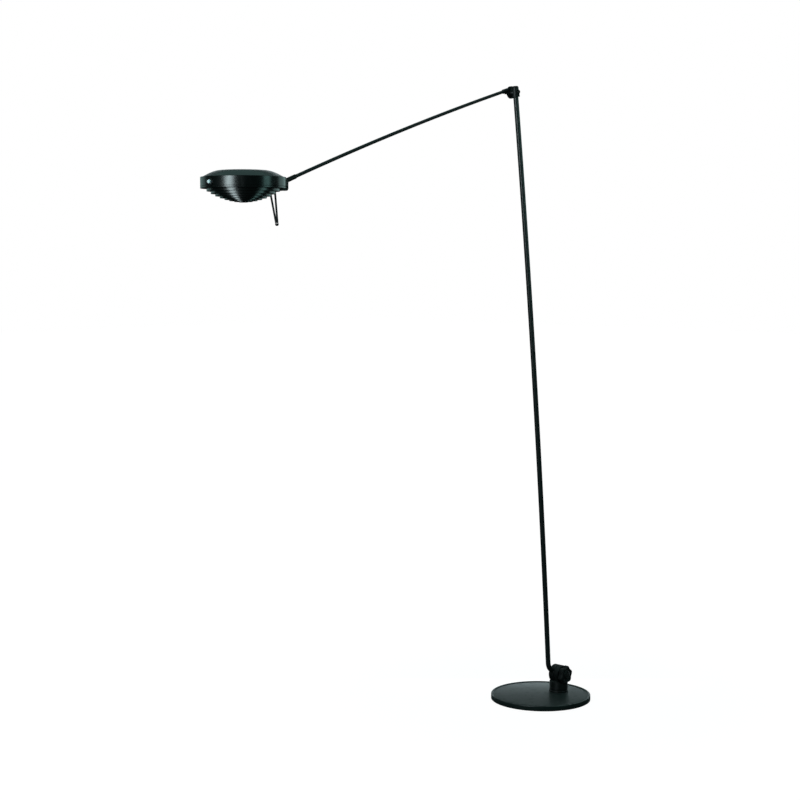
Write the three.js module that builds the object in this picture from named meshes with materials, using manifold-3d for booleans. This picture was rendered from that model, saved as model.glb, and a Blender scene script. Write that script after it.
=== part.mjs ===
// A pharmacy floor lamp: a heavy round base, a clamped foot joint near its rim, a long leaning
// stem, a thin drooping arm, and a shallow round head that sheds light down through a stepped
// stack of rings. Millimetres, +Z up. The origin is on the floor under the middle of the base.
// The arm reaches towards -X, and every hinge but the foot's swivel turns about Y.

import * as THREE from 'three';
import { mergeVertices } from 'three/addons/utils/BufferGeometryUtils.js';
import Module from 'manifold-3d';

const wasm = await Module();
wasm.setup();

const DEG = Math.PI / 180;

// Driving dimensions: millimetres and degrees.
const GAP = 0.3; // clearance left between neighbouring pieces
const SHEET = 1.2; // the base's spun steel cover
const LID_SHEET = 1; // the head's spun aluminium lid

const BASE_RADIUS = 140;
const BASE_DECK = 13; // height of the base's top face
const PAD_THICKNESS = 1.5;

const FOOT_X = 62; // the vertical swivel axis stands behind the middle of the base
const FOOT_Y = -16;
const FLANGE_RADIUS = 27;
const FLANGE_TOP = 17.5;
const TURRET_RADIUS = 26;
const TURRET_SHOULDER = 46;
const SWIVEL_BORE = 6.3;

const TILT_HEIGHT = 63; // the stem's tilt axis above the floor
const DRUM_RADIUS = 25.5;
const HUB_WIDTH = 17.6; // the half of the drum that turns with the stem
const CHEEK_WIDTH = 12.9; // the half that stays with the turret
const CLAMP_BORE = 5.3;
const KNOB_WIDTH = 14.5;
const KNOB_RADIUS = 26.2; // over the lobes

const STEM_Y = -8; // the stem's own plane
const STEM_RADIUS = 7;
const STEM_WALL = 1.5;
const STEM_SOCKET = 12; // how far from the tilt axis the tube starts
const STEM_ROOT_RISE = 29; // angle at which the tube leaves the hub
const STEM_BEND_RADIUS = 30;
const STEM_LEAN_LOW = 4.2; // the tube bows slightly under its load
const STEM_LEAN_HIGH = 7.4;
const STEM_LENGTH = 1589; // along the tube, above the bend

const ARM_Y = 7.5; // the arm's plane, beside the stem's
const ARM_RADIUS = 4.3;
const ARM_WALL = 1;
const ARM_DROP_START = 16.1;
const ARM_DROP_END = 20.2;
const ARM_SPAN = 890.5; // from the elbow's pivot to the head's, along the arm
const ARM_OFFSET = 8.8; // the arm's centre line passes this far above the elbow's pivot

const ELBOW_RISE = 5; // the elbow's pivot above the end of the stem tube
const ELBOW_DISC_RADIUS = 16.5;
const PIN_RADIUS = 3;
const PIN_BORE = 3.3;

const HEAD_RADIUS = 98;
const HEAD_HALF_HEIGHT = 13; // of the straight band
const HEAD_PIVOT_X = 114; // the head's tilt pin, measured from the head's centre
const HEAD_PIVOT_Z = 1.7;
const LID_RISE = 16.8; // of the lid's middle above the band

const LOUVRE_RINGS = 8;
const LOUVRE_SPHERE = 150; // the rings' lower edges lie on a sphere of this radius
const LOUVRE_DEPTH = 32; // of that sphere's lowest point below the band
const LOUVRE_ANGLE = 33.9; // from the sphere's axis to the widest ring
const LOUVRE_PITCH = 4.3;

// Number of sides on round pieces.
const WIDE = 48;
const ROUND = 32;
const SMALL = 14;

// Materials.
function metal(color, roughness, metalness = 0.6) {
  return new THREE.MeshStandardMaterial({ color, roughness, metalness });
}
const deckPaint = metal(0x23302f, 0.5, 0.2);
const blackPaint = metal(0x0d1212, 0.35, 0.2);
const blackSteel = metal(0x111616, 0.4, 0.5);
const ballastSteel = metal(0x5a5c5b, 0.6, 0.6);
const brightSteel = metal(0xb9bcbd, 0.25, 1);
const polishedAluminium = metal(0xd8dadb, 0.15, 1);
const blackPlastic = metal(0x131514, 0.55, 0);
const whitePlastic = metal(0xe9ecee, 0.3, 0);
const ceramic = metal(0xe6e2d8, 0.5, 0);
const clearGlass = metal(0xdfe8e8, 0.05, 0);
const rubber = metal(0x161616, 0.85, 0);

// Shape helpers.

// A turned piece: its (radius, height) outline swept about the named axis.
function turned(outline, sides = ROUND, axis = 'z') {
  const points = outline.map(([radius, height]) => new THREE.Vector2(radius, height));
  const geometry = new THREE.LatheGeometry(points, sides);
  if (axis === 'z') geometry.rotateX(Math.PI / 2);
  if (axis === 'x') geometry.rotateZ(-Math.PI / 2);
  return geometry;
}

// The outline of a solid disc or rod, from its low end to its high end.
function rodOutline(radius, low, high) {
  return [[0, low], [radius, low], [radius, high], [0, high]];
}

// The outline of a washer, ring or sleeve.
function ringOutline(inner, outer, low, high) {
  return [[inner, low], [outer, low], [outer, high], [inner, high], [inner, low]];
}

function box(lowX, highX, lowY, highY, lowZ, highZ) {
  const geometry = new THREE.BoxGeometry(highX - lowX, highY - lowY, highZ - lowZ);
  return geometry.translate((lowX + highX) / 2, (lowY + highY) / 2, (lowZ + highZ) / 2);
}

// A flat plate cut to an outline in the XZ plane, between two values of y.
function plate(outline, lowY, highY) {
  const shape = new THREE.Shape(outline.map(([x, z]) => new THREE.Vector2(x, z)));
  const geometry = new THREE.ExtrudeGeometry(shape, { depth: highY - lowY, bevelEnabled: false });
  return geometry.rotateX(Math.PI / 2).translate(0, highY, 0);
}

// Points along a round arc, for the corners of outlines; angles in degrees.
function arc(centreX, centreY, radius, from, to, steps) {
  return Array.from({ length: steps + 1 }, (_, i) => {
    const angle = (from + ((to - from) * i) / steps) * DEG;
    return [centreX + radius * Math.cos(angle), centreY + radius * Math.sin(angle)];
  });
}

// A line in a plane of constant y, made of stretches that each turn evenly by their own angle.
// heading is measured from +X towards +Z.
class BentLine extends THREE.Curve {
  constructor(start, heading, stretches) {
    super();
    this.points = [start.clone()];
    this.headings = [heading];
    for (const { length, turn, steps } of stretches) {
      for (let i = 0; i < steps; i += 1) this.advance(length / steps, turn / steps);
    }
  }

  advance(length, turn) {
    const half = (turn / 2) * DEG;
    const chord = half === 0 ? length : (length * Math.sin(half)) / half;
    const heading = this.headings.at(-1);
    const angle = heading * DEG + half;
    const step = new THREE.Vector3(chord * Math.cos(angle), 0, chord * Math.sin(angle));
    this.points.push(this.points.at(-1).clone().add(step));
    this.headings.push(heading + turn);
  }

  get steps() {
    return this.points.length - 1;
  }

  get end() {
    return this.points.at(-1);
  }

  // Evenly spaced positions fall on the points, however long each stretch is.
  getUtoTmapping(u) {
    return u;
  }

  getPoint(t) {
    const place = t * this.steps;
    const index = Math.min(Math.floor(place), this.steps - 1);
    return this.points[index].clone().lerp(this.points[index + 1], place - index);
  }

  getTangent(t) {
    const place = t * this.steps;
    const index = Math.min(Math.floor(place), this.steps - 1);
    const part = place - index;
    const heading = this.headings[index] * (1 - part) + this.headings[index + 1] * part;
    return new THREE.Vector3(Math.cos(heading * DEG), 0, Math.sin(heading * DEG));
  }
}

// A hollow tube along a bent line, open at both ends.
function tubeAlong(line, radius, wall, sides) {
  const section = new THREE.Shape().absarc(0, 0, radius, 0, 2 * Math.PI);
  section.holes.push(new THREE.Path().absarc(0, 0, radius - wall, 0, 2 * Math.PI));
  return new THREE.ExtrudeGeometry(section, {
    extrudePath: line,
    steps: line.steps,
    curveSegments: sides / 2,
  });
}

// Boolean helpers.

function toSolid(geometry) {
  const bare = geometry.clone();
  bare.deleteAttribute('normal');
  bare.deleteAttribute('uv');
  const merged = mergeVertices(bare, 1e-4);
  const corners = merged.index.array;
  const triangles = [];
  for (let i = 0; i < corners.length; i += 3) {
    const [a, b, c] = corners.subarray(i, i + 3);
    if (a !== b && b !== c && c !== a) triangles.push(a, b, c);
  }
  const vertProperties = merged.attributes.position.array;
  const triVerts = new Uint32Array(triangles);
  return new wasm.Manifold(new wasm.Mesh({ numProp: 3, vertProperties, triVerts }));
}

function fromSolid(solid) {
  const { vertProperties, triVerts } = solid.getMesh();
  const geometry = new THREE.BufferGeometry();
  geometry.setAttribute('position', new THREE.BufferAttribute(vertProperties, 3));
  geometry.setIndex(new THREE.BufferAttribute(triVerts, 1));
  geometry.computeVertexNormals();
  return geometry;
}

function join(...pieces) {
  return fromSolid(pieces.map(toSolid).reduce((whole, piece) => whole.add(piece)));
}

function cut(body, ...tools) {
  return fromSolid(tools.map(toSolid).reduce((rest, tool) => rest.subtract(tool), toSolid(body)));
}

// The scene graph.

const lamp = new THREE.Group();

function add(parent, name, geometry, material) {
  const mesh = new THREE.Mesh(geometry, material);
  mesh.name = name;
  parent.add(mesh);
  return mesh;
}

function groupAt(parent, x, y, z, turnAboutY = 0) {
  const group = new THREE.Group();
  group.position.set(x, y, z);
  group.rotation.y = -turnAboutY * DEG;
  parent.add(group);
  return group;
}

// The base: a felt pad, a cast ballast disc and a spun steel cover with a beaded rim.

const base = groupAt(lamp, 0, 0, 0);
const BALLAST_TOP = BASE_DECK - SHEET - GAP;
const BOLT_HEAD_RADIUS = 12;
const BOLT_HEAD_TOP = 7.2;
const BOLT_TOP = 31;

function footHole(radius, low, high) {
  return turned(rodOutline(radius, low, high), SMALL).translate(FOOT_X, FOOT_Y, 0);
}

function baseCover() {
  const inner = BASE_RADIUS - SHEET;
  const under = BASE_DECK - SHEET;
  const hem = 0.8; // height of the cover's lower edge above the floor
  const bead = 2.2; // radius of the bead round the rim
  const shell = turned([
    [0, under], [inner - SHEET, under], [inner, under - SHEET], [inner, hem],
    [BASE_RADIUS, hem], [BASE_RADIUS, BASE_DECK - SHEET],
    ...arc(BASE_RADIUS - bead, BASE_DECK - 1.4, bead, 10, 150, 4),
    [BASE_RADIUS - 2 * bead - 0.8, BASE_DECK], [0, BASE_DECK],
  ], WIDE);
  return cut(shell, footHole(SWIVEL_BORE, 5, 20));
}

add(base, 'base_pad', turned(rodOutline(BASE_RADIUS - 3, 0, PAD_THICKNESS), WIDE), rubber);
add(base, 'base_ballast', cut(
  turned(rodOutline(BASE_RADIUS - SHEET - 1.8, PAD_THICKNESS + GAP, BALLAST_TOP), WIDE),
  footHole(SWIVEL_BORE, 0, 20),
  footHole(BOLT_HEAD_RADIUS + 2 * GAP, 0, BOLT_HEAD_TOP + 2 * GAP),
), ballastSteel);
add(base, 'base_cover', baseCover(), deckPaint);

// The foot: a flange on the base, and a hollow bolt that the turret turns on.

const foot = groupAt(base, FOOT_X, FOOT_Y, 0);

add(foot, 'foot_flange', turned([
  [SWIVEL_BORE, BASE_DECK + GAP], [FLANGE_RADIUS, BASE_DECK + GAP],
  [FLANGE_RADIUS, FLANGE_TOP - 1.5], [FLANGE_RADIUS - 1.5, FLANGE_TOP],
  [SWIVEL_BORE, FLANGE_TOP], [SWIVEL_BORE, BASE_DECK + GAP],
], ROUND), blackPaint);
const WIRE_WAY = 3.2; // radius of the hole through the bolt for the wires
add(foot, 'swivel_bolt', turned([
  [WIRE_WAY, 2.2], [BOLT_HEAD_RADIUS, 2.2], [BOLT_HEAD_RADIUS, BOLT_HEAD_TOP],
  [SWIVEL_BORE - GAP, BOLT_HEAD_TOP], [SWIVEL_BORE - GAP, BOLT_TOP], [WIRE_WAY, BOLT_TOP],
  [WIRE_WAY, 2.2],
], SMALL), brightSteel);
add(foot, 'swivel_washer', turned(
  ringOutline(SWIVEL_BORE, 24, FLANGE_TOP + GAP, FLANGE_TOP + 1.1), ROUND), blackPlastic);

// The turret: a pillar hollowed out round the hub and the knob, with the fixed half of the
// clamp drum standing on it.

const drumY = STEM_Y - FOOT_Y; // the hub's middle, measured from the swivel axis
const hubNear = drumY - HUB_WIDTH / 2;
const hubFar = drumY + HUB_WIDTH / 2;
const cheekFar = hubNear - 1.3;
const cheekNear = cheekFar - CHEEK_WIDTH;
const turretFoot = FLANGE_TOP + 1.4;
const GLAND_HEIGHT = 27;
const GLAND_BORE = 4.6;

// A round tool along the tilt axis, for the drum's bores and hollows.
function drumTool(radius, from, to, sides = ROUND) {
  return turned(rodOutline(radius, from, to), sides, 'y').translate(0, 0, TILT_HEIGHT);
}

function turret() {
  const pillar = turned([
    [0, turretFoot], [TURRET_RADIUS - 1, turretFoot], [TURRET_RADIUS, turretFoot + 1],
    [TURRET_RADIUS, TURRET_SHOULDER - 3], [TURRET_RADIUS - 3, TURRET_SHOULDER],
    [0, TURRET_SHOULDER],
  ], ROUND);
  const hubHollow = drumTool(DRUM_RADIUS + 0.8, cheekFar, hubFar + 0.8);
  const knobHollow = drumTool(KNOB_RADIUS + 0.8, cheekNear - 30, cheekNear);
  const neckLow = 21.4; // half the neck's width where it leaves the pillar
  const neckHigh = 25; // and where it meets the drum
  const neckFoot = 38;
  const neck = plate([
    [-neckLow, neckFoot], [neckLow, neckFoot], [neckHigh, TILT_HEIGHT], [-neckHigh, TILT_HEIGHT],
  ], cheekNear + 0.8, cheekFar - 0.8);
  const cheek = turned([
    [0, cheekNear], [DRUM_RADIUS - 1, cheekNear], [DRUM_RADIUS, cheekNear + 1],
    [DRUM_RADIUS, cheekFar], [0, cheekFar],
  ], ROUND, 'y').translate(0, 0, TILT_HEIGHT);
  const cradle = cut(pillar, hubHollow, knobHollow);
  const swivelBore = turned(rodOutline(SWIVEL_BORE, 0, BOLT_TOP + 1.5), SMALL);
  const glandBore = turned(rodOutline(GLAND_BORE, 0, 40), SMALL, 'x').translate(0, 0, GLAND_HEIGHT);
  const clampBore = drumTool(CLAMP_BORE, cheekNear - 30, hubFar, SMALL);
  return cut(join(cradle, neck, cheek), swivelBore, glandBore, clampBore);
}

add(foot, 'turret', turret(), blackPaint);
add(foot, 'cord_gland', turned([
  [2.8, 15], [4.3, 15], [4.3, 26.4], [6.5, 26.4], [6.5, 28.4], [5.4, 29.4], [2.8, 29.4], [2.8, 15],
], SMALL, 'x').translate(0, 0, GLAND_HEIGHT), rubber);

// The clamp: a friction washer between the drum's halves, drawn together by a lobed hand knob.

const clamp = groupAt(foot, 0, 0, TILT_HEIGHT);
const knobBack = cheekNear - 0.5;
const knobFace = knobBack - KNOB_WIDTH;

function clampKnob() {
  const LOBES = 6;
  const POINTS = 48;
  const bevel = 1.4;
  const swell = 2.2; // of each lobe, either way from the mean outline
  const valley = KNOB_RADIUS - bevel - 2 * swell;
  const outline = Array.from({ length: POINTS }, (_, i) => {
    const angle = (i / POINTS) * 2 * Math.PI;
    const radius = valley + swell * (1 + Math.cos(LOBES * (angle - 15 * DEG)));
    return new THREE.Vector2(radius * Math.cos(angle), radius * Math.sin(angle));
  });
  const grip = new THREE.ExtrudeGeometry(new THREE.Shape(outline), {
    depth: KNOB_WIDTH - 2 * bevel,
    bevelThickness: bevel,
    bevelSize: bevel,
    bevelSegments: 1,
  });
  grip.rotateX(Math.PI / 2).translate(0, knobBack - bevel, 0);
  return cut(grip, turned(rodOutline(CLAMP_BORE, knobFace + 4, 20), SMALL, 'y'));
}

add(clamp, 'friction_washer', turned(
  ringOutline(CLAMP_BORE, DRUM_RADIUS - 1.5, cheekFar + GAP, hubNear - GAP), ROUND, 'y'), rubber);
add(clamp, 'clamp_stud', turned(
  rodOutline(CLAMP_BORE - GAP, knobFace + 4.6, drumY + 3.4), SMALL, 'y'), brightSteel);
add(clamp, 'clamp_knob', clampKnob(), blackPlastic);
add(clamp, 'knob_cap', turned([
  [0, knobFace - 1.9], [8, knobFace - 1.7], [10.5, knobFace - 1], [11, knobFace - GAP],
  [0, knobFace - GAP],
], SMALL, 'y'), blackSteel);

// The stem: a hub that turns about the tilt axis, and one long tube bent where it leaves the hub.

const tilt = groupAt(lamp, FOOT_X, STEM_Y, TILT_HEIGHT);
const stemHeading = 180 - STEM_ROOT_RISE;
const stemDirection = new THREE.Vector3(Math.cos(stemHeading * DEG), 0, Math.sin(stemHeading * DEG));

function stemHub() {
  const half = HUB_WIDTH / 2;
  const drum = turned([
    [0, -half], [DRUM_RADIUS, -half], [DRUM_RADIUS, half - 1], [DRUM_RADIUS - 1, half], [0, half],
  ], ROUND, 'y');
  const socket = turned(rodOutline(STEM_RADIUS + GAP, STEM_SOCKET - 0.5, 40), SMALL, 'x');
  socket.rotateY(-stemHeading * DEG);
  const studBore = turned(rodOutline(CLAMP_BORE, -half - 5, 4), SMALL, 'y');
  return cut(drum, socket, studBore);
}

const bendTurn = 90 + STEM_LEAN_LOW - stemHeading;
const stemLine = new BentLine(stemDirection.clone().multiplyScalar(STEM_SOCKET), stemHeading, [
  { length: DRUM_RADIUS + 1.2 - STEM_SOCKET, turn: 0, steps: 1 },
  { length: STEM_BEND_RADIUS * Math.abs(bendTurn) * DEG, turn: bendTurn, steps: 8 },
  { length: STEM_LENGTH, turn: STEM_LEAN_HIGH - STEM_LEAN_LOW, steps: 16 },
]);

add(tilt, 'stem_hub', stemHub(), blackPaint);
add(tilt, 'hub_cap', turned([
  [0, HUB_WIDTH / 2 + GAP], [15, HUB_WIDTH / 2 + GAP], [15, HUB_WIDTH / 2 + 1.3],
  [13.5, HUB_WIDTH / 2 + 2], [0, HUB_WIDTH / 2 + 2.4],
], ROUND, 'y'), blackPlastic);
add(tilt, 'stem_tube', tubeAlong(stemLine, STEM_RADIUS, STEM_WALL, 14), blackPaint);

// The elbow: a bell on the end of the stem, with the arm's disc pinned to its far side.

const stemTop = stemLine.end.clone().add(tilt.position);
const elbow = groupAt(lamp, stemTop.x, STEM_Y, stemTop.z, STEM_LEAN_HIGH);
const pivot = groupAt(elbow, 0, 0, ELBOW_RISE);
const discNear = ARM_Y - STEM_Y - 3.5;
const discFar = discNear + 7;

function stemBell() {
  const bell = turned([
    [0, -4.7], [STEM_RADIUS + GAP, -4.7], [STEM_RADIUS + GAP, -13], [10.9, -13], [10.9, -11.5],
    [9.3, 7], ...arc(4.3, 11.2, 5, 0, 80, 3), [0, 16.3],
  ], 24);
  const boss = turned(rodOutline(11.5, 0, discNear - 1.2), 24, 'y');
  const nearBoss = turned(rodOutline(6.5, -10.3, 0), SMALL, 'y');
  const pocket = turned(rodOutline(STEM_RADIUS + GAP, -30, -4.7), 24);
  return cut(join(bell, boss, nearBoss), pocket, turned(rodOutline(PIN_BORE, -30, 30), SMALL, 'y'));
}

add(pivot, 'stem_bell', stemBell(), blackPaint);
add(pivot, 'elbow_washer', turned(
  ringOutline(PIN_BORE, 11, discNear - 0.9, discNear - GAP), 24, 'y'), blackPlastic);
add(pivot, 'elbow_bolt', turned([
  [0, -13], [4.2, -13], [5, -12.2], [5, -10.6], [PIN_RADIUS, -10.6], [PIN_RADIUS, discFar + 4.5],
  [0, discFar + 4.5],
], SMALL, 'y'), blackSteel);
add(pivot, 'elbow_nut', cut(
  turned([
    [0, discFar + GAP], [6.2, discFar + GAP], [6.2, discFar + 4.5], [4, discFar + 6.5],
    [0, discFar + 7.2],
  ], 6, 'y'),
  turned(rodOutline(PIN_BORE, discFar - 5, discFar + 5), SMALL, 'y'),
), blackSteel);

// The arm: a knuckle with a socket along its top edge, a thin tube, and a collar at the far end.

const elbowPivot = pivot.getWorldPosition(new THREE.Vector3());
const armRoot = groupAt(lamp, elbowPivot.x, ARM_Y, elbowPivot.z, ARM_DROP_START);
const SOCKET_DEPTH = 12;
const SOCKET_END = 32;

function armKnuckle() {
  const disc = turned([
    [0, -3.5], [ELBOW_DISC_RADIUS - 0.8, -3.5], [ELBOW_DISC_RADIUS, -2.7],
    [ELBOW_DISC_RADIUS, 2.7], [ELBOW_DISC_RADIUS - 0.8, 3.5], [0, 3.5],
  ], ROUND, 'y');
  const barrel = turned(rodOutline(6, -SOCKET_END, -14.6), SMALL, 'x').translate(0, 0, ARM_OFFSET);
  const web = box(-24, -6, -3, 3, 0, ARM_OFFSET);
  const bore = turned(rodOutline(ARM_RADIUS + GAP, -60, SOCKET_DEPTH - SOCKET_END), SMALL, 'x');
  bore.translate(0, 0, ARM_OFFSET);
  return cut(join(disc, barrel, web), bore, turned(rodOutline(PIN_BORE, -20, 20), SMALL, 'y'));
}

const armStart = armRoot.localToWorld(new THREE.Vector3(0, 0, ARM_OFFSET));
const COLLAR_START = 24; // distances from the head's tilt pin, back along the arm
const COLLAR_END = 54;
const TUBE_END = 39;
const tubeStart = SOCKET_END - SOCKET_DEPTH + GAP;
const armBow = (ARM_DROP_END - ARM_DROP_START) / ARM_SPAN;

// A stretch of the arm's centre line, between two distances from the elbow's pivot.
function armLine(from, to, steps) {
  const heading = 180 + ARM_DROP_START;
  const lead = new BentLine(armStart, heading, [{ length: from, turn: armBow * from, steps: 4 }]);
  const stretch = { length: to - from, turn: armBow * (to - from), steps };
  return new BentLine(lead.end, heading + armBow * from, [stretch]);
}

add(armRoot, 'arm_knuckle', armKnuckle(), blackPaint);
add(lamp, 'arm_tube', tubeAlong(armLine(tubeStart, ARM_SPAN - TUBE_END, 12), ARM_RADIUS, ARM_WALL, 12),
  blackPaint);

const headPin = armLine(tubeStart, ARM_SPAN, 12).end;
const wrist = groupAt(lamp, headPin.x, ARM_Y, headPin.z, ARM_DROP_END);
const SPINDLE_RADIUS = 2.9;

add(wrist, 'arm_collar', turned([
  [SPINDLE_RADIUS + GAP, COLLAR_START], [5, COLLAR_START], [5.5, COLLAR_START + 0.5],
  [5.5, COLLAR_END - 1], [4.9, COLLAR_END], [ARM_RADIUS + GAP, COLLAR_END],
  [ARM_RADIUS + GAP, TUBE_END - GAP], [SPINDLE_RADIUS + GAP, TUBE_END - GAP],
  [SPINDLE_RADIUS + GAP, COLLAR_START],
], SMALL, 'x'), blackPaint);

// The wrist: a tongue on the head's tilt pin, with a spindle that turns in the arm's collar.

function headTongue() {
  const eye = turned(rodOutline(10, -4.2, 4.2), 24, 'y');
  const neck = box(0, COLLAR_START - GAP, -4.2, 4.2, -4.4, 4.4);
  const spindle = turned(rodOutline(SPINDLE_RADIUS, 10, TUBE_END - 1), SMALL, 'x');
  return cut(join(eye, neck, spindle), turned(rodOutline(PIN_BORE, -20, 20), SMALL, 'y'));
}

add(wrist, 'head_tongue', headTongue(), blackSteel);

// The head: a band closed above by a lid and below by a rim ring, all spun aluminium.

const head = groupAt(lamp, headPin.x - HEAD_PIVOT_X, ARM_Y, headPin.z - HEAD_PIVOT_Z);
const bandInner = HEAD_RADIUS - 1.4;
const bandFoot = -HEAD_HALF_HEIGHT + 4.8;
const lidRim = HEAD_RADIUS - 4.7;
const SWITCH_BORE = 6.3;
const BRACKET_SCREWS = [-5.5, 5.5];

function crosswise(radius, from, to, y, z) {
  return turned(rodOutline(radius, from, to), SMALL, 'x').translate(0, y, z);
}

function headBand() {
  const top = HEAD_HALF_HEIGHT;
  const ring = turned([
    [bandInner, bandFoot], [HEAD_RADIUS, bandFoot], [HEAD_RADIUS, top - 0.8],
    [HEAD_RADIUS - 0.8, top], [lidRim + GAP, top], [lidRim + GAP, top - 1.2],
    [bandInner, top - 1.2], [bandInner, bandFoot],
  ], ROUND);
  const screwHoles = BRACKET_SCREWS.map((y) => crosswise(2.3, 80, 120, y, 1));
  return cut(ring, crosswise(SWITCH_BORE, -120, -80, 0, 0), ...screwHoles);
}

// The lid is nearly flat in the middle and falls away ever faster to its rim.
function headLid() {
  const low = HEAD_HALF_HEIGHT - 2.6;
  const rim = HEAD_HALF_HEIGHT + 0.4;
  const top = HEAD_HALF_HEIGHT + LID_RISE;
  const crown = [[76, top - 7.4], [64.5, top - 3], [55, top - 1.4], [34, top - 0.5]];
  const under = crown.map(([radius, z]) => [radius - 0.4, z - LID_SHEET]).reverse();
  return turned([
    [0, top - LID_SHEET], ...under, [lidRim - LID_SHEET, rim - 0.5], [lidRim - LID_SHEET, low],
    [lidRim, low], [lidRim, rim], ...crown, [0, top],
  ], ROUND);
}

const GLASS_THICKNESS = 2;
const glassTop = -9;
const glassUnder = glassTop - GLASS_THICKNESS;
const PLATE_RADIUS = 94.2; // of the glass and of the reflector's flange
const RIM_OPENING = 84.2; // radius of the hole that the glass and the louvre fill

function rimRing() {
  const low = -HEAD_HALF_HEIGHT;
  const lip = bandFoot - 0.9; // a shadow line is left between the ring and the band
  const spigot = -6.9; // the ring's spigot reaches up inside the band
  const seat = bandInner - 1.7;
  return turned([
    [RIM_OPENING, low], [HEAD_RADIUS - 0.6, low], [HEAD_RADIUS, low + 0.6], [HEAD_RADIUS, lip],
    [bandInner - GAP, lip], [bandInner - GAP, spigot], [seat, spigot],
    [seat, glassUnder - GAP], [RIM_OPENING, glassUnder - GAP], [RIM_OPENING, low],
  ], ROUND);
}

add(head, 'head_band', headBand(), blackPaint);
add(head, 'head_lid', headLid(), blackPaint);
add(head, 'rim_ring', rimRing(), blackPaint);
add(head, 'glass_plate', turned(rodOutline(PLATE_RADIUS, glassUnder, glassTop), ROUND), clearGlass);

// The louvre: rings stepped down a sphere, hung from the steps of a crossed carrier.

const RING_WALL = 1.1;
const RING_LAP = 2.6; // how far each ring reaches up inside the one above
const carrierTop = glassUnder - GAP;

function ringRadius(index) {
  return LOUVRE_SPHERE * Math.sin((LOUVRE_ANGLE - index * LOUVRE_PITCH) * DEG);
}

function ringFoot(index) {
  const radius = ringRadius(index);
  const sag = LOUVRE_SPHERE - Math.sqrt(LOUVRE_SPHERE ** 2 - radius ** 2);
  return sag - LOUVRE_DEPTH - HEAD_HALF_HEIGHT;
}

function ringTop(index) {
  return index === 0 ? carrierTop - 1.3 : ringFoot(index - 1) + RING_LAP;
}

function louvreRing(index) {
  const radius = ringRadius(index);
  const foot = ringFoot(index);
  return turned(ringOutline(radius - RING_WALL, radius, foot, ringTop(index)), index < 4 ? ROUND : 28);
}

// One blade of the carrier: it stands on edge across the head, and steps down inside each ring.
function carrierBlade() {
  let reach = RIM_OPENING - 0.4;
  const right = [[reach, carrierTop]];
  for (let i = 0; i < LOUVRE_RINGS - 1; i += 1) {
    const step = ringTop(i) + GAP;
    right.push([reach, step]);
    reach = ringRadius(i) - RING_WALL - 2 * GAP;
    right.push([reach, step]);
  }
  right.push([reach, ringTop(LOUVRE_RINGS - 1) + GAP]);
  const left = right.map(([x, z]) => [-x, z]).reverse();
  return plate([...right, ...left], -0.4, 0.4);
}

for (let i = 0; i < LOUVRE_RINGS - 1; i += 1) {
  add(head, `louvre_ring_${i + 1}`, louvreRing(i), blackPaint);
}
const lastRing = LOUVRE_RINGS - 1;
add(head, 'louvre_cap', turned([
  [0, ringFoot(lastRing)], [ringRadius(lastRing) - 0.5, ringFoot(lastRing)],
  [ringRadius(lastRing), ringFoot(lastRing) + 0.5], [ringRadius(lastRing), ringTop(lastRing)],
  [0, ringTop(lastRing)],
], SMALL), blackPaint);
add(head, 'louvre_carrier', join(
  carrierBlade().rotateZ(45 * DEG),
  carrierBlade().rotateZ(-45 * DEG),
), blackSteel);

// The light: a double-ended tube across the head, between two ceramic holders on a steel strip.

const LAMP_LENGTH = 114;
const STRIP_LEVEL = 18.5;
const STRIP_THICKNESS = 1.2;
const HOLDER_Y = LAMP_LENGTH / 2 + 5.8;
const BOWL_RADIUS = 83;
const BOWL_DEPTH = 24;
const BOWL_WALL = 0.8;
const BOWL_RIM = glassTop + 0.7; // level of the flange that the bowl hangs by

function bowlHeight(radius) {
  return BOWL_RIM + BOWL_DEPTH * Math.sqrt(1 - (radius / BOWL_RADIUS) ** 2);
}

function reflector() {
  const crown = BOWL_RIM + BOWL_DEPTH;
  const inner = [80, 72, 60, 44, 24].map((radius) => [radius, bowlHeight(radius)]);
  const outer = inner.map(([radius, z]) => [radius + 0.6, z + BOWL_WALL]);
  const flangeTop = BOWL_RIM + BOWL_WALL;
  const bowl = turned([
    [0, crown], ...inner.reverse(), [BOWL_RADIUS - 0.2, BOWL_RIM], [PLATE_RADIUS, BOWL_RIM],
    [PLATE_RADIUS, flangeTop], [BOWL_RADIUS + 0.6, flangeTop], ...outer, [0, crown + BOWL_WALL],
  ], ROUND);
  const slots = [-1, 1].map((side) => {
    const near = side * HOLDER_Y;
    return box(-6.5, 6.5, near - 5, near + 5, -4, 30);
  });
  const screwRelief = box(93, 96, -10, 10, -9, 0);
  return cut(bowl, ...slots, screwRelief);
}

function lampHolder(side) {
  const y = side * HOLDER_Y;
  const block = box(-6, 6, y - 4.5, y + 4.5, -5, 7);
  const post = box(-3, 3, y - 3, y + 3, 6, STRIP_LEVEL - GAP);
  const pocket = turned(rodOutline(2.6, -HOLDER_Y, HOLDER_Y), SMALL, 'y');
  const clipped = box(-3, 3, y - side * 4.6 - 2.5, y - side * 4.6 + 2.5, -3, 3);
  return cut(join(block, post), clipped, pocket);
}

function lampTube() {
  const half = LAMP_LENGTH / 2;
  return turned([
    [0, -half], [2.2, -half], [2.2, 6 - half], [3.4, 8 - half], [5, 13 - half], [5, half - 13],
    [3.4, half - 8], [2.2, half - 6], [2.2, half], [0, half],
  ], SMALL, 'y');
}

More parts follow.
